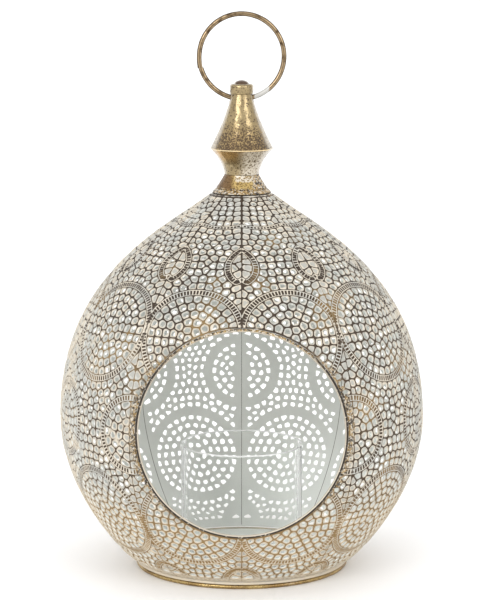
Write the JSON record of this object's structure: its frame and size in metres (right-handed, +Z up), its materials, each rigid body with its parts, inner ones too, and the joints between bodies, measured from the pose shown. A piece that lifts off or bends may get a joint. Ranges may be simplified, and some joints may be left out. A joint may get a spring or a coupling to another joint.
{
  "type": "moroccan metal lantern",
  "caption": "Onion-shaped lantern of pierced sheet-metal gores with a round front opening, a clear candle glass, a turned finial and a carrying ring.",
  "frame": {"origin": "centre of the foot, on the surface that the lantern stands on", "axes": "+Z up through the finial, -Y out of the round front opening, +X to the right when facing the opening"},
  "size_m": [0.2606, 0.2435, 0.4],
  "materials": {
    "gilt_whitewash": "antique gold rubbed with whitewash outside, pale grey paint inside",
    "antique_gold": "pitted antique gold with brown patina and rubbed highlights",
    "grey_paint": "pale grey satin paint",
    "zinc_steel": "zinc plated",
    "clear_glass": "clear, polished"
  },
  "bodies": {
    "lantern": {"gore_01": "gilt_whitewash", "gore_02": "gilt_whitewash", "gore_03": "gilt_whitewash", "gore_04": "gilt_whitewash", "gore_05": "gilt_whitewash", "gore_06": "gilt_whitewash", "gore_07": "gilt_whitewash", "gore_08": "gilt_whitewash", "gore_09": "gilt_whitewash", "gore_10": "gilt_whitewash", "opening_rim": "antique_gold", "foot_band": "gilt_whitewash", "foot_wire": "antique_gold", "floor_plate": "grey_paint", "neck_collar": "antique_gold", "finial": "antique_gold", "neck_plate": "grey_paint", "neck_washer": "zinc_steel", "finial_screw": "zinc_steel"},
    "ring": {"ring_handle": "antique_gold"},
    "glass": {"glass_cylinder": "clear_glass"}
  },
  "joints": [
    {"name": "ring_swing", "type": "hinge", "parent": "lantern", "child": "ring", "pos_m": [0, 0, 0.3387], "axis": [1, 0, 0], "range_deg": [-163, 163]},
    {"name": "glass_lift", "type": "slide", "parent": "lantern", "child": "glass", "axis": [0, 0, 1], "range_m": [0, 0.06]}
  ]
}
